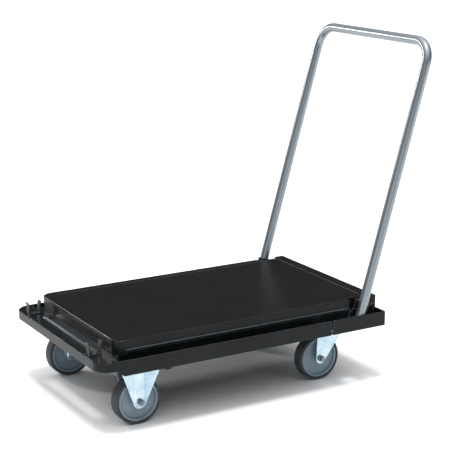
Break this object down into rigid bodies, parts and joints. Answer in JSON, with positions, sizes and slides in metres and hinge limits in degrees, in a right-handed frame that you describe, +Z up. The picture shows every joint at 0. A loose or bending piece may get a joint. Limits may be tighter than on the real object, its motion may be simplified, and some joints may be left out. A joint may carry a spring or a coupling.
{
  "type": "folding platform cart",
  "caption": "Folding platform cart: black moulded base with a raised load deck, a silver tubular handle that folds flat over it, rigid casters in front and swivel casters behind.",
  "frame": {"origin": "on the floor under the middle of the overall box, handle up", "axes": "+X towards the handle end, along the longest side; +Y across the platform; +Z up"},
  "size_m": [0.9972, 0.54, 0.913],
  "materials": {
    "black_plastic": "satin",
    "clip_plastic": "satin",
    "handle_steel": "satin",
    "black_steel": "satin",
    "zinc_plate": "gloss",
    "fastener_zinc": "satin",
    "tread_rubber": "matte",
    "wheel_plastic": "satin"
  },
  "bodies": {
    "base": {"base_tray": "black_plastic", "handle_housing": "black_plastic", "deck": "black_plastic", "left_handle_clip": "clip_plastic", "left_clip_screw": "fastener_zinc", "left_pivot_bolt": "fastener_zinc", "left_pivot_nut": "fastener_zinc", "rigid_left_fork": "zinc_plate", "rigid_left_axle_bolt": "fastener_zinc", "rigid_left_axle_nut": "fastener_zinc", "rigid_left_plate_bolt_1": "fastener_zinc", "rigid_left_plate_bolt_2": "fastener_zinc", "rigid_left_plate_bolt_3": "fastener_zinc", "rigid_left_plate_bolt_4": "fastener_zinc", "swivel_left_top_plate": "zinc_plate", "swivel_left_ball_race": "zinc_plate", "swivel_left_kingpin": "fastener_zinc", "swivel_left_plate_bolt_1": "fastener_zinc", "swivel_left_plate_bolt_2": "fastener_zinc", "swivel_left_plate_bolt_3": "fastener_zinc", "swivel_left_plate_bolt_4": "fastener_zinc", "right_handle_clip": "clip_plastic", "right_clip_screw": "fastener_zinc", "right_pivot_bolt": "fastener_zinc", "right_pivot_nut": "fastener_zinc", "rigid_right_fork": "zinc_plate", "rigid_right_axle_bolt": "fastener_zinc", "rigid_right_axle_nut": "fastener_zinc", "rigid_right_plate_bolt_1": "fastener_zinc", "rigid_right_plate_bolt_2": "fastener_zinc", "rigid_right_plate_bolt_3": "fastener_zinc", "rigid_right_plate_bolt_4": "fastener_zinc", "swivel_right_top_plate": "zinc_plate", "swivel_right_ball_race": "zinc_plate", "swivel_right_kingpin": "fastener_zinc", "swivel_right_plate_bolt_1": "fastener_zinc", "swivel_right_plate_bolt_2": "fastener_zinc", "swivel_right_plate_bolt_3": "fastener_zinc", "swivel_right_plate_bolt_4": "fastener_zinc"},
    "handle": {"handle_tube": "handle_steel", "left_handle_foot": "black_steel", "right_handle_foot": "black_steel"},
    "left_lock_pin": {"left_lock_pin": "fastener_zinc"},
    "rigid_left_wheel": {"rigid_left_wheel_core": "wheel_plastic", "rigid_left_tyre": "tread_rubber"},
    "swivel_left_fork": {"swivel_left_fork": "zinc_plate", "swivel_left_axle_bolt": "fastener_zinc", "swivel_left_axle_nut": "fastener_zinc"},
    "swivel_left_wheel": {"swivel_left_wheel_core": "wheel_plastic", "swivel_left_tyre": "tread_rubber"},
    "right_lock_pin": {"right_lock_pin": "fastener_zinc"},
    "rigid_right_wheel": {"rigid_right_wheel_core": "wheel_plastic", "rigid_right_tyre": "tread_rubber"},
    "swivel_right_fork": {"swivel_right_fork": "zinc_plate", "swivel_right_axle_bolt": "fastener_zinc", "swivel_right_axle_nut": "fastener_zinc"},
    "swivel_right_wheel": {"swivel_right_wheel_core": "wheel_plastic", "swivel_right_tyre": "tread_rubber"}
  },
  "joints": [
    {"name": "handle_fold", "type": "hinge", "parent": "base", "child": "handle", "pos_m": [0.27533, 0, 0.18], "axis": [0, -1, 0], "range_deg": [0, 104.13]},
    {"name": "left_lock_slide", "type": "slide", "parent": "base", "child": "left_lock_pin", "axis": [0, -1, 0], "range_m": [0, 0.0071]},
    {"name": "right_lock_slide", "type": "slide", "parent": "base", "child": "right_lock_pin", "axis": [0, 1, 0], "range_m": [0, 0.0071]},
    {"name": "rigid_left_spin", "type": "hinge", "parent": "base", "child": "rigid_left_wheel", "pos_m": [-0.37067, -0.203, 0.06196], "axis": [0, 1, 0], "continuous": true},
    {"name": "rigid_right_spin", "type": "hinge", "parent": "base", "child": "rigid_right_wheel", "pos_m": [-0.37067, 0.203, 0.06196], "axis": [0, 1, 0], "continuous": true},
    {"name": "swivel_left_turn", "type": "hinge", "parent": "base", "child": "swivel_left_fork", "pos_m": [0.22933, -0.1682, 0.14], "axis": [0, 0, 1], "continuous": true},
    {"name": "swivel_left_spin", "type": "hinge", "parent": "swivel_left_fork", "child": "swivel_left_wheel", "pos_m": [0.19333, -0.1682, 0.06196], "axis": [0, 1, 0], "continuous": true},
    {"name": "swivel_right_turn", "type": "hinge", "parent": "base", "child": "swivel_right_fork", "pos_m": [0.22933, 0.1682, 0.14], "axis": [0, 0, 1], "continuous": true},
    {"name": "swivel_right_spin", "type": "hinge", "parent": "swivel_right_fork", "child": "swivel_right_wheel", "pos_m": [0.19333, 0.1682, 0.06196], "axis": [0, 1, 0], "continuous": true}
  ]
}
